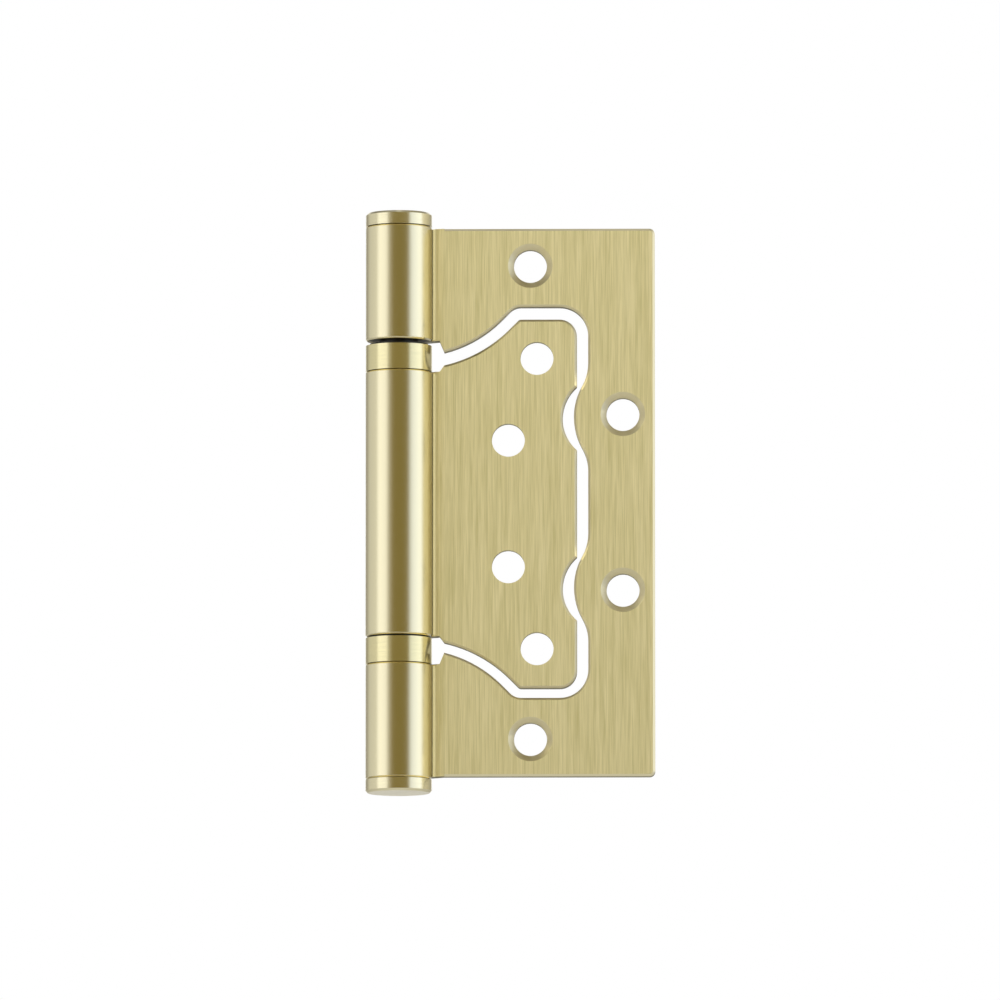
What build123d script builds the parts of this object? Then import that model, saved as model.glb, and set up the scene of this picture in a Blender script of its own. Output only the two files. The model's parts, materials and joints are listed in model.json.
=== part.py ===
from build123d import *
import math
import os

# A non-mortise hinge with two ball bearings, in millimetres, closed and standing upright.
# +Z runs along the pin and both leaves reach out along +X, in one plane about y = 0.
# The origin is on the pin's axis, halfway up the leaves. The small leaf is nested in the
# large leaf's window. The large leaf's countersinks face -Y, the small leaf's face +Y.

# Sheet, pin and running fits
sheet = 2.5             # thickness of both leaves
pin_radius = 3.5
press_gap = 0.02        # radial gap of pieces that are pressed together
running_gap = 0.05      # radial gap of pieces that turn on each other
seam_gap = 0.1          # between the free end of a rolled knuckle and its own sheet
bend_radius = 1.6       # of the sheet's middle line, where it bends up towards the roll
bend_reach = 2.28       # from the roll's outside to where the flat sheet begins

# Large leaf
leaf_height = 100.0
leaf_reach = 46.5       # from the pin's axis to the far edge
leaf_corner = 1.0
knuckle_overhang = 0.4  # knuckles stand this far past the leaf's top and bottom edges
edge_bevel = 0.4        # eased edge that punching leaves on the front face

# Window of the large leaf, and the slot that parts it from the small leaf
window_from_end = 14.3  # from the leaf's top or bottom edge to the window's flat end
window_from_far_edge = 12.1
window_corner = 5.2
slot = 2.05
ramp_angle = 45.0       # of the sloping stretch between neck and flat top
ramp_top = 21.05        # from the pin's axis to where the ramp would meet the flat top
ramp_length = 3.4
ramp_corner = 2.9
neck_radius = 22.3      # arc that leads from the bend to the ramp
notch_reach = 1.4       # from the roll's outside to the foot of the slot's slanted flanks
least_corner = 0.5

# Lobes that keep metal round the large leaf's outer screws, and the recesses that clear them
lobe_depth = 2.6        # the lobes stand this far into the window
lobe_radius = 11.4
lobe_fillet = 8.4
lobe_offset = 0.5       # the lobe lies this much nearer mid-height than its screw
recess_radius = 7.8

# Countersunk screw holes, placed from the edges of their own leaf
hole_radius = 3.0
sink_radius = 4.05
sink_angle = 90.0
end_hole_from_end = 6.8
end_hole_from_far_edge = 22.6
side_hole_from_far_edge = 5.8
side_hole_height = 16.05
nested_end_hole_from_top = 7.15
nested_end_hole_from_far_edge = 7.25
nested_side_hole_from_far_edge = 12.45
nested_side_hole_height = 11.55

# Barrel, from the middle outwards
middle_setback = 1.18   # the middle knuckle ends this far inside the small leaf's edge
bearing_height = 5.1    # across both races
bearing_play = 0.55     # axial play, all of it above the upper bearing
knuckle_bevel = 0.25

# Caps, plugged into the outer knuckles
cap_height = 2.4
cap_seam = 0.1          # between a cap and the knuckle's end
cap_bevel = 0.4
spigot_length = 3.0
pin_end_gap = 0.1

# Thrust bearings
ball_radius = 0.75
ball_count = 6
ball_gap = 0.03         # between a ball and each race
shell_wall = 0.6
shell_height = 4.65
shell_seam = 0.1        # the shell sits on the lower race, this far clear of the knuckle below
race_gap = 0.12         # between the turning race and the shell
cage_thickness = 1.3
cage_edge_gap = 0.1     # between the cage and the pin or the shell

# How near two drawn places have to be to count as one
same = 1e-6

# Worked out from the above
bore = pin_radius + press_gap
barrel_radius = bore + sheet
nested_bore = pin_radius + running_gap
bend_start = barrel_radius + bend_reach
notch_foot = barrel_radius + notch_reach
leaf_top = leaf_height / 2
knuckle_end = leaf_top + knuckle_overhang
window_top = leaf_top - window_from_end
window_reach = leaf_reach - window_from_far_edge
ramp_lean = math.radians(ramp_angle)
neck_foot_x = ramp_top - ramp_length * math.cos(ramp_lean)
neck_foot_z = window_top - ramp_length * math.sin(ramp_lean)
neck_x = neck_foot_x - neck_radius * math.sin(ramp_lean)
neck_z = neck_foot_z + neck_radius * math.cos(ramp_lean)
window_mouth = neck_z - math.sqrt(neck_radius**2 - (bend_start - neck_x) ** 2)
nested_mouth = neck_z - math.sqrt((neck_radius + slot) ** 2 - (bend_start - neck_x) ** 2)
middle_end = nested_mouth - middle_setback
drop = bearing_play / 2
knuckle_start = middle_end + bearing_height + drop
nested_reach = window_reach - slot
nested_top = window_top - slot
side_hole_reach = leaf_reach - side_hole_from_far_edge
shell_bore = barrel_radius - shell_wall
ball_circle = (nested_bore + shell_bore) / 2
front = -1
back = 1


def slope(knuckle_bore):
    """Angle to the flat sheet of the straight stretch that runs from its bend to the roll."""
    roll = knuckle_bore + sheet / 2
    to_bend = math.hypot(bend_start, bend_radius)
    return math.asin((roll + bend_radius) / to_bend) - math.atan2(bend_radius, bend_start)


def roll_section(knuckle_bore):
    """Section of the roll, which closes to the seam gap beside the straight stretch."""
    roll = Circle(knuckle_bore + sheet) - Circle(knuckle_bore)
    reach = 2 * bend_start
    kept_clear = Pos(reach / 2, knuckle_bore - seam_gap + reach / 2) * Rectangle(reach, reach)
    return roll - Rot(0, 0, -math.degrees(slope(knuckle_bore))) * kept_clear


def neck_section(knuckle_bore):
    """Section of the straight stretch beside the roll and of the bend that leads to the flat sheet."""
    lean = slope(knuckle_bore)
    length = bend_start * math.cos(lean) - bend_radius * math.sin(lean)
    stretch = Pos(length / 2, knuckle_bore + sheet / 2) * Rectangle(length, sheet)
    centre = Vector(bend_start, bend_radius)
    reach = 2 * (bend_radius + sheet)
    to_flat = centre - Vector(0, reach)
    to_stretch = centre - Vector(math.sin(lean), math.cos(lean)) * reach
    wedge = make_face(Polyline(centre, to_stretch, to_flat, close=True))
    band = Circle(bend_radius + sheet / 2) - Circle(bend_radius - sheet / 2)
    return Rot(0, 0, -math.degrees(lean)) * stretch + ((Pos(bend_start, bend_radius) * band) & wedge)


def knuckle(knuckle_bore, low, high, neck_outline):
    """Rolled knuckle from low to high, and its neck, cut to an outline of (x, z) points."""
    roll = Pos(0, 0, low) * extrude(roll_section(knuckle_bore), high - low)
    rims = [
        edge
        for edge in roll.edges().filter_by(GeomType.CIRCLE)
        if math.isclose(edge.radius, knuckle_bore + sheet, abs_tol=same)
    ]
    neck = extrude(neck_section(knuckle_bore), leaf_height, both=True)
    outline = Plane.XZ * make_face(Polyline(*neck_outline, close=True))
    return chamfer(rims, knuckle_bevel) + (neck & extrude(outline, barrel_radius, both=True))


def on_neck(inset, turn):
    """Point on the neck's arc, or on the arc that is inset from it, by its turn from the lowest point."""
    radius = neck_radius + inset
    return neck_x + radius * math.sin(turn), neck_z - radius * math.cos(turn)


def nest_outline(inset):
    """Face of the window (inset 0) or of the nested leaf (inset by the slot), without lobes."""
    top = window_top - inset
    far = window_reach - inset
    mouth_turn = math.asin((bend_start - neck_x) / (neck_radius + inset))
    mouth = on_neck(inset, mouth_turn)
    foot = on_neck(inset, ramp_lean)
    ramp_end = (foot[0] + (top - foot[1]) / math.tan(ramp_lean), top)
    upper = [
        ThreePointArc(mouth, on_neck(inset, (mouth_turn + ramp_lean) / 2), foot),
        Line(foot, ramp_end),
        Line(ramp_end, (far, top)),
    ]
    lower = [mirror(edge, about=Plane.XZ) for edge in upper]
    ends = [Line((far, top), (far, -top)), Line(mouth, (mouth[0], -mouth[1]))]
    face = make_face(Curve() + upper + lower + ends)
    corners = face.vertices().filter_by(lambda v: math.isclose(v.X, far, abs_tol=same))
    face = fillet(corners, max(window_corner - inset, least_corner))
    ramps = face.vertices().filter_by(lambda v: math.isclose(v.X, ramp_end[0], abs_tol=same))
    return fillet(ramps, max(ramp_corner - inset, least_corner))


def lobe_places():
    """Height of each lobe's crest."""
    return [side * (side_hole_height - lobe_offset) for side in (-1, 1)]


def window_face():
    """The window that the small leaf lies in, with the lobes standing into it."""
    face = nest_outline(0)
    crest = window_reach - lobe_depth
    for height in lobe_places():
        face -= Pos(crest + lobe_radius, height) * Circle(lobe_radius)
    far_side = face.vertices().filter_by(lambda v: math.isclose(v.X, window_reach, abs_tol=same))
    joints = [v for v in far_side if near_lobe(v.Y)]
    return fillet(joints, lobe_fillet)


def near_lobe(height):
    """Whether a point on the window's far side is an end of a lobe's arc."""
    half_chord = math.sqrt(lobe_radius**2 - (lobe_radius - lobe_depth) ** 2)
    return any(math.isclose(abs(height - place), half_chord, abs_tol=same) for place in lobe_places())


def nested_face():
    """The small leaf's flat outline, with a recess opposite each lobe."""
    face = nest_outline(slot)
    crest = window_reach - lobe_depth - slot
    for height in lobe_places():
        face -= Pos(crest + recess_radius, height) * Circle(recess_radius)
    return face


def plate(face):
    """Flat sheet of the given outline, drawn as x and z, with its front edges eased."""
    solid = extrude(Plane.XZ * face, sheet / 2, both=True)
    on_front = solid.edges().filter_by(lambda e: math.isclose(e.center().Y, front * sheet / 2, abs_tol=same))
    free = on_front.filter_by(lambda e: not math.isclose(e.center().X, bend_start, abs_tol=same))
    return chamfer(free, edge_bevel)


def screw_hole(x, z, face):
    """Cutter of one screw hole, countersunk from the front or the back face."""
    depth = (sink_radius - hole_radius) / math.tan(math.radians(sink_angle / 2))
    mouth = Plane(origin=(x, face * sheet / 2, z), x_dir=(1, 0, 0), z_dir=(0, face, 0))
    sink = Pos(0, 0, -depth / 2) * Cone(hole_radius, sink_radius, depth)
    return mouth * (sink + Cylinder(hole_radius, 3 * sheet))


def leaf_holes():
    """Screw places of the large leaf."""
    ends = [(leaf_reach - end_hole_from_far_edge, leaf_top - end_hole_from_end)]
    sides = [(side_hole_reach, side_hole_height)]
    return [(x, side * z) for x, z in ends + sides for side in (-1, 1)]


def nested_holes():
    """Screw places of the small leaf."""
    ends = [(nested_reach - nested_end_hole_from_far_edge, nested_top - nested_end_hole_from_top)]
    sides = [(nested_reach - nested_side_hole_from_far_edge, nested_side_hole_height)]
    return [(x, side * z) for x, z in ends + sides for side in (-1, 1)]


def make_outer_leaf():
    """Large leaf: one punched sheet, rolled into the top and bottom knuckles."""
    width = leaf_reach - bend_start
    outline = Pos(bend_start + width / 2, 0) * Rectangle(width, leaf_height)
    far_corners = outline.vertices().filter_by(lambda v: math.isclose(v.X, leaf_reach))
    leaf = plate(fillet(far_corners, leaf_corner) - window_face())
    leaf += knuckle(bore, knuckle_start, knuckle_end, outer_neck(1))
    leaf += knuckle(bore, -knuckle_end, -knuckle_start, outer_neck(-1))
    for x, z in leaf_holes():
        leaf -= screw_hole(x, z, front)
    return leaf


def outer_neck(side):
    """Neck outline of the upper (side 1) or lower (side -1) outer knuckle."""
    flank = [(0, knuckle_start), (notch_foot, knuckle_start), (bend_start, window_mouth)]
    return [(x, side * z) for x, z in [*flank, (bend_start, leaf_top), (0, leaf_top)]]


def nested_neck():
    """Neck outline of the middle knuckle."""
    upper = [(0, middle_end), (notch_foot, middle_end), (bend_start, nested_mouth)]
    return upper + [(x, -z) for x, z in reversed(upper)]


def make_inner_leaf():
    """Small leaf: the piece punched out of the window, rolled into the middle knuckle.

    Its weight closes the lower bearing, so it hangs half the play below mid-height.
    """
    leaf = plate(nested_face())
    leaf += knuckle(nested_bore, -middle_end, middle_end, nested_neck())
    for x, z in nested_holes():
        leaf -= screw_hole(x, z, back)
    return Pos(0, 0, -drop) * leaf


def ring(inner, outer, low, height):
    """Plain ring round the pin."""
    return Pos(0, 0, low) * extrude(Circle(outer) - Circle(inner), height)


def make_pin():
    """Pin, from one cap's spigot to the other's."""
    low = -knuckle_end + spigot_length
    high = knuckle_end - spigot_length - pin_end_gap
    return Pos(0, 0, low) * extrude(Circle(pin_radius), high - low)


def make_cap():
    """Top cap: a disc as wide as the barrel, with a spigot that is pressed into the knuckle."""
    disc = Pos(0, 0, knuckle_end + cap_seam) * extrude(Circle(barrel_radius), cap_height)
    disc = chamfer(disc.edges().filter_by(GeomType.CIRCLE).sort_by(Axis.Z)[-1], cap_bevel)
    low = knuckle_end - spigot_length
    spigot = Pos(0, 0, low) * extrude(Circle(bore - press_gap), spigot_length + cap_seam)
    return disc + spigot


def make_ball_ring(middle):
    """Cage with its balls, centred on the height middle and joined as one running piece."""
    low = middle - cage_thickness / 2
    balls = ring(nested_bore + cage_edge_gap, shell_bore - cage_edge_gap, low, cage_thickness)
    for number in range(ball_count):
        seat = Rot(0, 0, number * 360 / ball_count) * Pos(ball_circle, 0, middle)
        balls += seat * (Rot(90, 0, 0) * Sphere(ball_radius))
    return balls


def make_bearing(name, low):
    """One thrust bearing standing on the height low: sleeve, two races, and balls in a cage."""
    height = bearing_height / 2 - ball_radius - ball_gap
    return {
        f"{name}_shell": ring(shell_bore, barrel_radius, low + shell_seam, shell_height),
        f"{name}_lower_race": ring(nested_bore, shell_bore - press_gap, low, height),
        f"{name}_upper_race": ring(nested_bore, shell_bore - race_gap, low + bearing_height - height, height),
        f"{name}_ball_ring": make_ball_ring(low + bearing_height / 2),
    }


def make_pieces():
    """Every piece of the hinge by its name."""
    cap = make_cap()
    return {
        "outer_leaf": make_outer_leaf(),
        "inner_leaf": make_inner_leaf(),
        "hinge_pin": make_pin(),
        "top_cap": cap,
        "bottom_cap": mirror(cap, about=Plane.XY),
        **make_bearing("upper_bearing", middle_end - drop),
        **make_bearing("lower_bearing", -knuckle_start),
    }


os.makedirs("parts", exist_ok=True)
for piece_name, piece in make_pieces().items():
    export_step(piece, f"parts/{piece_name}.step")
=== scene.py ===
import bpy
import json
import math
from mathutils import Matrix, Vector


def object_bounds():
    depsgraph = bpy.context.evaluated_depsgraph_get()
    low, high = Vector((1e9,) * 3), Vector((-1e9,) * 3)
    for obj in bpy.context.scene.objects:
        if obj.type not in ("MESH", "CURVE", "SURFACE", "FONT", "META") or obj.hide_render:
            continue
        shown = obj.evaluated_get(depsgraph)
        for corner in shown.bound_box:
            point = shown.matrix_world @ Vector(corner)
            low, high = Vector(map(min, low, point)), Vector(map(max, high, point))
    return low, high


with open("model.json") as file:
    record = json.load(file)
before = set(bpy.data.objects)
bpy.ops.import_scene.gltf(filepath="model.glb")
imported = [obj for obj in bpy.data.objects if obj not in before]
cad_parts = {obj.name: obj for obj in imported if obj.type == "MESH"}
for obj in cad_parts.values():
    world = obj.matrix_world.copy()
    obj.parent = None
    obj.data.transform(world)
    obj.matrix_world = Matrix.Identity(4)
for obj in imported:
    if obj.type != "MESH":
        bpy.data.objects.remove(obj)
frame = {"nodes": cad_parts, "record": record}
cad_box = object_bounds()
nodes = frame["nodes"]

# Lengths are in metres, angles in degrees and colours linear, unless a line says otherwise.
MM = 0.001

# Distances from the pin's axis
SMOOTH_END = 6.4 * MM           # where the roll's smooth finish ends
BRUSHED_START = 7.2 * MM        # where the brushed finish is complete
FLAT_START = 8.3 * MM           # where the bend ends and the flat sheet begins

# The photograph's view: its scale in the plane of the leaves, and the pin's place in it
PHOTO_SIZE = 1000
PIXELS_PER_METRE = 5509
PIN_COLUMN = 398.8
MIDDLE_ROW = 502.8
CAMERA_DISTANCE = 3.0
CAMERA_SIDE = 1.0               # azimuth of the camera
CAMERA_DROP = 6.5               # the camera looks up at the hinge by this much
SENSOR_WIDTH = 36               # in millimetres, as the lens is
CLIP_END = 50

# Metals
PALE_STROKE = (0.99, 0.893, 0.56)
DARK_STROKE = (0.77, 0.69, 0.36)
LEAF_ROUGHNESS = 0.55
BARREL_COLOUR = (0.94, 0.86, 0.60)
BARREL_ROUGHNESS = 0.22
SHELL_COLOUR = (0.92, 0.83, 0.50)
# Dark colour of punched walls and cut roll ends: partly raw sheared metal, partly painted shade on the
# edges and in the gaps between knuckles
RAW_EDGE_AND_SHADE_COLOUR = (0.30, 0.27, 0.18)
PUNCHED_ROUGHNESS = 0.45
EASED_ROUGHNESS = 0.30          # of countersinks and eased edges
# Near-black pin, races and balls: painted shade that makes the gaps at the bearings and knuckles black
PAINTED_SHADE_BLACK = (0.045, 0.043, 0.04)
INNER_STEEL_ROUGHNESS = 0.35
CAGE_COLOUR = (0.72, 0.52, 0.24)
CAGE_ROUGHNESS = 0.3

# Brushing of the flat sheet: width and length of its strokes, and their relief
FINE_STROKE = (0.17 * MM, 7 * MM)
BROAD_STROKE = (0.7 * MM, 24 * MM)
FINE_SHARE = 0.6                # of the pattern; broad strokes are the rest
RELIEF_DEPTH = 0.01 * MM
RELIEF_STRENGTH = 0.4
BRUSHED_ANISOTROPY = 0.6

# Lathe marks of turned pieces, and how much they lighten or darken the metal
LATHE_MARK = (6 * MM, 0.12 * MM)
LATHE_SHADE = 0.03

NOISE_DETAIL = 3
NOISE_RANGE = (0.35, 0.65)      # the noise at which a stroke is darkest, and palest

# How squarely a surface faces along Y or Z, from where a finish starts to change to where it has changed
EASED_FACING = (0.8, 0.95)
PUNCHED_FACING = (0.3, 0.5)
CUT_END_FACING = (0.8, 0.95)

# The studio by azimuth, where 0 is in front of the hinge, 90 on its right and 180 behind it
DARK_FRONT = (0.185, 0.14, 0.026)
STUDIO = (
    (-180, (1.0, 1.0, 1.0)),
    (-162, (1.0, 1.0, 1.0)),
    (-156, (0.30, 0.29, 0.26)),
    (-140, (0.32, 0.31, 0.28)),
    (-122, (0.60, 0.60, 0.56)),
    (-90, (0.66, 0.66, 0.62)),
    (-40, (0.48, 0.46, 0.42)),
    (-20, DARK_FRONT),
    (33, DARK_FRONT),
    (44, (0.55, 0.55, 0.50)),
    (84, (0.90, 0.90, 0.84)),
    (94, (0.76, 0.73, 0.60)),
    (124, (0.52, 0.49, 0.38)),
    (156, (0.30, 0.29, 0.26)),
    (162, (1.0, 1.0, 1.0)),
    (180, (1.0, 1.0, 1.0)),
)
OVERHEAD_LEVEL = 0.65           # of the studio straight above, against its level at the horizon
DIMMING = (0.15, 0.8)           # sines of the elevations between which it falls to that level

# Soft panels: name, azimuth, half of the angle that the width spans, elevation, distance, height, radiance
PANELS = (
    ("left_panel", -58, 20, 0, 0.9, 1.6, (0.53, 0.55, 0.58)),
    ("right_panel", 64, 25, 0, 0.9, 1.6, (0.28, 0.35, 0.51)),
    ("high_panel", 0, 40, 41, 1.8, 1.2, (1.8, 1.8, 1.62)),
)

WHITE = (1.0, 1.0, 1.0)
FLOOR_COLOUR = (0.8, 0.8, 0.8)
FLOOR_ROUGHNESS = 0.9
FLOOR_DROP = 0.35               # below the hinge's lower end
FLOOR_SIZE = 6
FLOOR_GLOW = 0.5                # added for the camera, which sees the floor nearly white


def add(tree, kind, **settings):
    """Adds a node and sets its properties."""
    node = tree.nodes.new(kind)
    for key, value in settings.items():
        setattr(node, key, value)
    return node


def calculate(tree, operation, *values):
    """Math node with numbers or links as its values."""
    node = add(tree, "ShaderNodeMath", operation=operation)
    for socket, value in zip(node.inputs, values):
        if isinstance(value, (int, float)):
            socket.default_value = value
        else:
            tree.links.new(value, socket)
    return node.outputs["Value"]


def ramp(tree, value, low, high, to_low, to_high):
    """Maps value from low..high to to_low..to_high, with both ends held."""
    node = add(tree, "ShaderNodeMapRange")
    for name, number in (("From Min", low), ("From Max", high), ("To Min", to_low), ("To Max", to_high)):
        node.inputs[name].default_value = number
    tree.links.new(value, node.inputs["Value"])
    return node.outputs["Result"]


def blend(tree, factor, first, second):
    """Colour between first (factor 0) and second (factor 1); each is a colour or a link."""
    node = add(tree, "ShaderNodeMix", data_type="RGBA")
    tree.links.new(factor, node.inputs["Factor"])
    for name, value in (("A", first), ("B", second)):
        if isinstance(value, tuple):
            node.inputs[name].default_value = (*value, 1)
        else:
            tree.links.new(value, node.inputs[name])
    return node.outputs["Result"]


def new_material(name, colour, roughness, metallic=1):
    """Material with one colour and roughness, with its node tree and its shader."""
    material = bpy.data.materials.new(name)
    material.use_nodes = True
    shader = material.node_tree.nodes["Principled BSDF"]
    shader.inputs["Base Color"].default_value = (*colour, 1)
    shader.inputs["Metallic"].default_value = metallic
    shader.inputs["Roughness"].default_value = roughness
    return material, material.node_tree, shader


def strokes(tree, size):
    """Noise of the given width and length along Z, in the object's own coordinates."""
    across, along = size
    place = add(tree, "ShaderNodeTexCoord")
    stretch = add(tree, "ShaderNodeMapping")
    stretch.inputs["Scale"].default_value = (1 / across, 1 / across, 1 / along)
    noise = add(tree, "ShaderNodeTexNoise")
    noise.inputs["Scale"].default_value = 1
    noise.inputs["Detail"].default_value = NOISE_DETAIL
    tree.links.new(place.outputs["Object"], stretch.inputs["Vector"])
    tree.links.new(stretch.outputs["Vector"], noise.inputs["Vector"])
    return noise.outputs["Fac"]


def stroke_colour(tree, noise, dark, pale):
    """Colour of strokes between dark and pale, by their noise."""
    return blend(tree, ramp(tree, noise, *NOISE_RANGE, 0, 1), dark, pale)


def axis_of(tree, output, axis):
    """One component of the object's coordinates or normal."""
    place = add(tree, "ShaderNodeTexCoord")
    split = add(tree, "ShaderNodeSeparateXYZ")
    tree.links.new(place.outputs[output], split.inputs["Vector"])
    return split.outputs[axis]


def facing(tree, axis):
    """1 where the surface faces squarely along the axis, either way, and 0 where it lies along it."""
    return calculate(tree, "ABSOLUTE", axis_of(tree, "Normal", axis))


def turned_from_face(tree, least, most):
    """1 where the sheet's surface is turned away from its flat faces, 0 on them and on the rolls."""
    outside = ramp(tree, axis_of(tree, "Object", "X"), BRUSHED_START, FLAT_START, 0, 1)
    return calculate(tree, "MULTIPLY", ramp(tree, facing(tree, "Y"), least, most, 1, 0), outside)


def punched(tree):
    """1 on the punched walls of the sheet and on the cut ends of its rolls, 0 elsewhere."""
    # the cut ends of the rolls are taken in so that the gaps between knuckles get painted shade
    ends = ramp(tree, facing(tree, "Z"), *CUT_END_FACING, 0, 1)
    return calculate(tree, "MAXIMUM", turned_from_face(tree, *PUNCHED_FACING), ends)


def sheet_material():
    """Brushed flat sheet that turns into the smoother roll of the knuckle, with punched walls and cut roll
    ends coloured dark: partly raw sheared metal, partly painted shade on the edges and in the gaps between
    knuckles.
    """
    material, tree, shader = new_material("leaf_sheet", PALE_STROKE, LEAF_ROUGHNESS)
    links = tree.links
    flat = ramp(tree, axis_of(tree, "Object", "X"), SMOOTH_END, BRUSHED_START, 0, 1)
    eased = turned_from_face(tree, *EASED_FACING)
    raw_and_shaded = punched(tree)

    fine = strokes(tree, FINE_STROKE)
    broad = strokes(tree, BROAD_STROKE)
    fine_part = calculate(tree, "MULTIPLY", fine, FINE_SHARE)
    broad_part = calculate(tree, "MULTIPLY", broad, 1 - FINE_SHARE)
    brushed = stroke_colour(tree, calculate(tree, "ADD", fine_part, broad_part), DARK_STROKE, PALE_STROKE)
    plated = blend(tree, calculate(tree, "SUBTRACT", flat, eased), BARREL_COLOUR, brushed)
    # painted shade: punched walls and roll ends turn dark, partly for their raw sheared metal
    links.new(blend(tree, raw_and_shaded, plated, RAW_EDGE_AND_SHADE_COLOUR), shader.inputs["Base Color"])

    smooth = ramp(tree, flat, 0, 1, BARREL_ROUGHNESS, LEAF_ROUGHNESS)
    soften = calculate(tree, "MULTIPLY", eased, EASED_ROUGHNESS - LEAF_ROUGHNESS)
    roughen = calculate(tree, "MULTIPLY", raw_and_shaded, PUNCHED_ROUGHNESS - EASED_ROUGHNESS)
    rough = calculate(tree, "ADD", calculate(tree, "ADD", smooth, soften), roughen)
    links.new(rough, shader.inputs["Roughness"])
    shader.inputs["Anisotropic"].default_value = BRUSHED_ANISOTROPY

    relief = add(tree, "ShaderNodeBump")
    relief.inputs["Distance"].default_value = RELIEF_DEPTH
    links.new(calculate(tree, "MULTIPLY", flat, RELIEF_STRENGTH), relief.inputs["Strength"])
    links.new(fine, relief.inputs["Height"])
    links.new(relief.outputs["Normal"], shader.inputs["Normal"])
    return material


def turned_material(name, colour, roughness):
    """Metal that was turned on a lathe, with faint marks round the pin's axis."""
    material, tree, shader = new_material(name, colour, roughness)
    dark, pale = (tuple(c * (1 + side * LATHE_SHADE) for c in colour) for side in (-1, 1))
    marks = strokes(tree, LATHE_MARK)
    tree.links.new(stroke_colour(tree, marks, dark, pale), shader.inputs["Base Color"])
    return material


def dress():
    """Gives every node its finish and the slot that it comes from."""
    finishes = {
        "leaf_sheet": sheet_material(),
        "barrel_trim": turned_material("barrel_trim", BARREL_COLOUR, BARREL_ROUGHNESS),
        "bearing_shell": turned_material("bearing_shell", SHELL_COLOUR, BARREL_ROUGHNESS),
        # painted shade: the pin and bearing steel are near-black so the gaps round them look black
        "pin_steel": turned_material("pin_steel", PAINTED_SHADE_BLACK, INNER_STEEL_ROUGHNESS),
        "bearing_steel": turned_material("bearing_steel", PAINTED_SHADE_BLACK, INNER_STEEL_ROUGHNESS),
        "bearing_cage": turned_material("bearing_cage", CAGE_COLOUR, CAGE_ROUGHNESS),
    }
    for part in frame["record"]["subparts"]:
        piece = nodes[part["node"]]
        piece.data.materials.clear()
        piece.data.materials.append(finishes[part["material_slot"]])


def direction(azimuth, elevation):
    """Direction from the hinge to what stands at that azimuth and elevation."""
    turn, rise = math.radians(azimuth), math.radians(elevation)
    return Vector((math.sin(turn) * math.cos(rise), -math.cos(turn) * math.cos(rise), math.sin(rise)))


def stand(name, data, target, back, distance):
    """New lamp or camera that stands off from its target in the direction back, and faces it."""
    made = bpy.data.objects.new(name, data)
    made.location = target + back * distance
    made.rotation_mode = "QUATERNION"
    made.rotation_quaternion = back.to_track_quat("Z", "Y")
    bpy.context.scene.collection.objects.link(made)
    return made


def soft_panel(name, azimuth, half_angle, elevation, distance, height, radiance):
    """Soft panel that faces the hinge and that the camera doesn't see."""
    data = bpy.data.lights.new(name, "AREA")
    data.shape = "RECTANGLE"
    data.size = 2 * distance * math.tan(math.radians(half_angle))
    data.size_y = height
    data.energy = math.pi * data.size * data.size_y
    data.color = radiance
    light = stand(name, data, Vector(), direction(azimuth, elevation), distance)
    light.visible_camera = False


def seen_directly(tree):
    """1 for what the camera sees, also through something clear, and 0 for light and reflections."""
    path = add(tree, "ShaderNodeLightPath")
    return calculate(tree, "MAXIMUM", path.outputs["Is Camera Ray"], path.outputs["Is Transmission Ray"])


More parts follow.
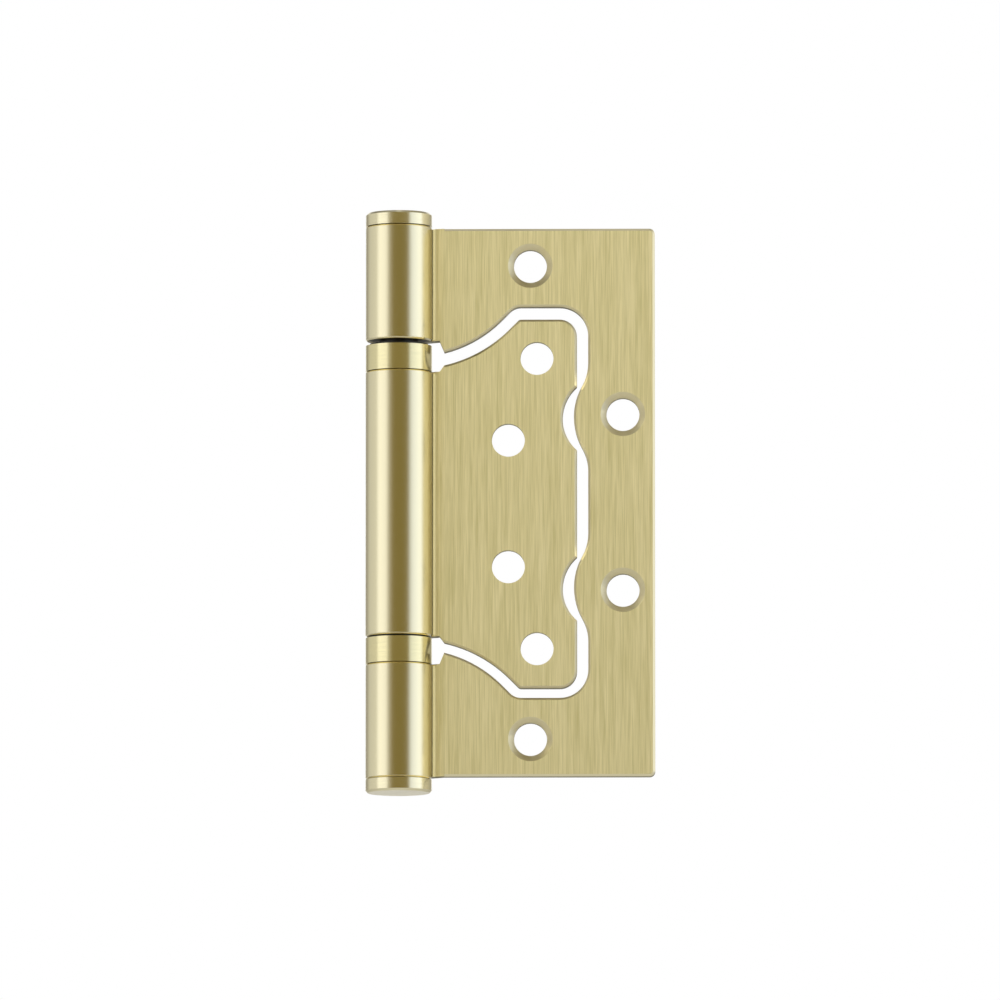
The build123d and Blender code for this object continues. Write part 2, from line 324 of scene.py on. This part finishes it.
def studio_world():
    """White for the camera; everything else is lit by, and reflects, the studio."""
    world = bpy.data.worlds.new("studio")
    world.use_nodes = True
    tree = world.node_tree
    place = add(tree, "ShaderNodeTexCoord")
    split = add(tree, "ShaderNodeSeparateXYZ")
    tree.links.new(place.outputs["Generated"], split.inputs["Vector"])
    towards_front = calculate(tree, "MULTIPLY", split.outputs["Y"], -1)
    azimuth = calculate(tree, "ARCTAN2", split.outputs["X"], towards_front)

    bands = add(tree, "ShaderNodeValToRGB")
    stops = bands.color_ramp.elements
    while len(stops) < len(STUDIO):
        stops.new(0.5)
    for stop, (angle, colour) in zip(stops, STUDIO):
        stop.position = (angle + 180) / 360
        stop.color = (*colour, 1)
    tree.links.new(ramp(tree, azimuth, -math.pi, math.pi, 0, 1), bands.inputs["Fac"])

    level = ramp(tree, split.outputs["Z"], *DIMMING, 1, OVERHEAD_LEVEL)
    seen = seen_directly(tree)
    background = tree.nodes["Background"]
    tree.links.new(blend(tree, seen, bands.outputs["Color"], WHITE), background.inputs["Color"])
    tree.links.new(calculate(tree, "MAXIMUM", seen, level), background.inputs["Strength"])
    bpy.context.scene.world = world


def floor():
    """Pale floor well under the hinge. From below it can be seen through."""
    bpy.ops.mesh.primitive_plane_add(size=FLOOR_SIZE, location=(0, 0, cad_box[0].z - FLOOR_DROP))
    plane = bpy.context.object
    plane.name = "floor"
    material, tree, shader = new_material("floor", FLOOR_COLOUR, FLOOR_ROUGHNESS, metallic=0)
    shader.inputs["Emission Color"].default_value = (*WHITE, 1)
    glow = calculate(tree, "MULTIPLY", seen_directly(tree), FLOOR_GLOW)
    tree.links.new(glow, shader.inputs["Emission Strength"])
    clear = add(tree, "ShaderNodeBsdfTransparent")
    either = add(tree, "ShaderNodeMixShader")
    side = add(tree, "ShaderNodeNewGeometry")
    tree.links.new(side.outputs["Backfacing"], either.inputs[0])
    tree.links.new(shader.outputs["BSDF"], either.inputs[1])
    tree.links.new(clear.outputs["BSDF"], either.inputs[2])
    tree.links.new(either.outputs["Shader"], tree.nodes["Material Output"].inputs["Surface"])
    plane.data.materials.append(material)


def camera():
    """Long lens, a little below the hinge's level, framed as in the photograph."""
    data = bpy.data.cameras.new("camera")
    data.sensor_width = SENSOR_WIDTH
    data.lens = SENSOR_WIDTH * CAMERA_DISTANCE / (PHOTO_SIZE / PIXELS_PER_METRE)
    data.clip_end = CLIP_END
    seen_x = (PHOTO_SIZE / 2 - PIN_COLUMN) / PIXELS_PER_METRE
    seen_z = (MIDDLE_ROW - PHOTO_SIZE / 2) / PIXELS_PER_METRE
    back = direction(CAMERA_SIDE, -CAMERA_DROP)
    bpy.context.scene.camera = stand("camera", data, Vector((seen_x, 0, seen_z)), back, CAMERA_DISTANCE)


dress()
studio_world()
for panel in PANELS:
    soft_panel(*panel)
floor()
camera()
bpy.context.scene.view_settings.view_transform = "Standard"
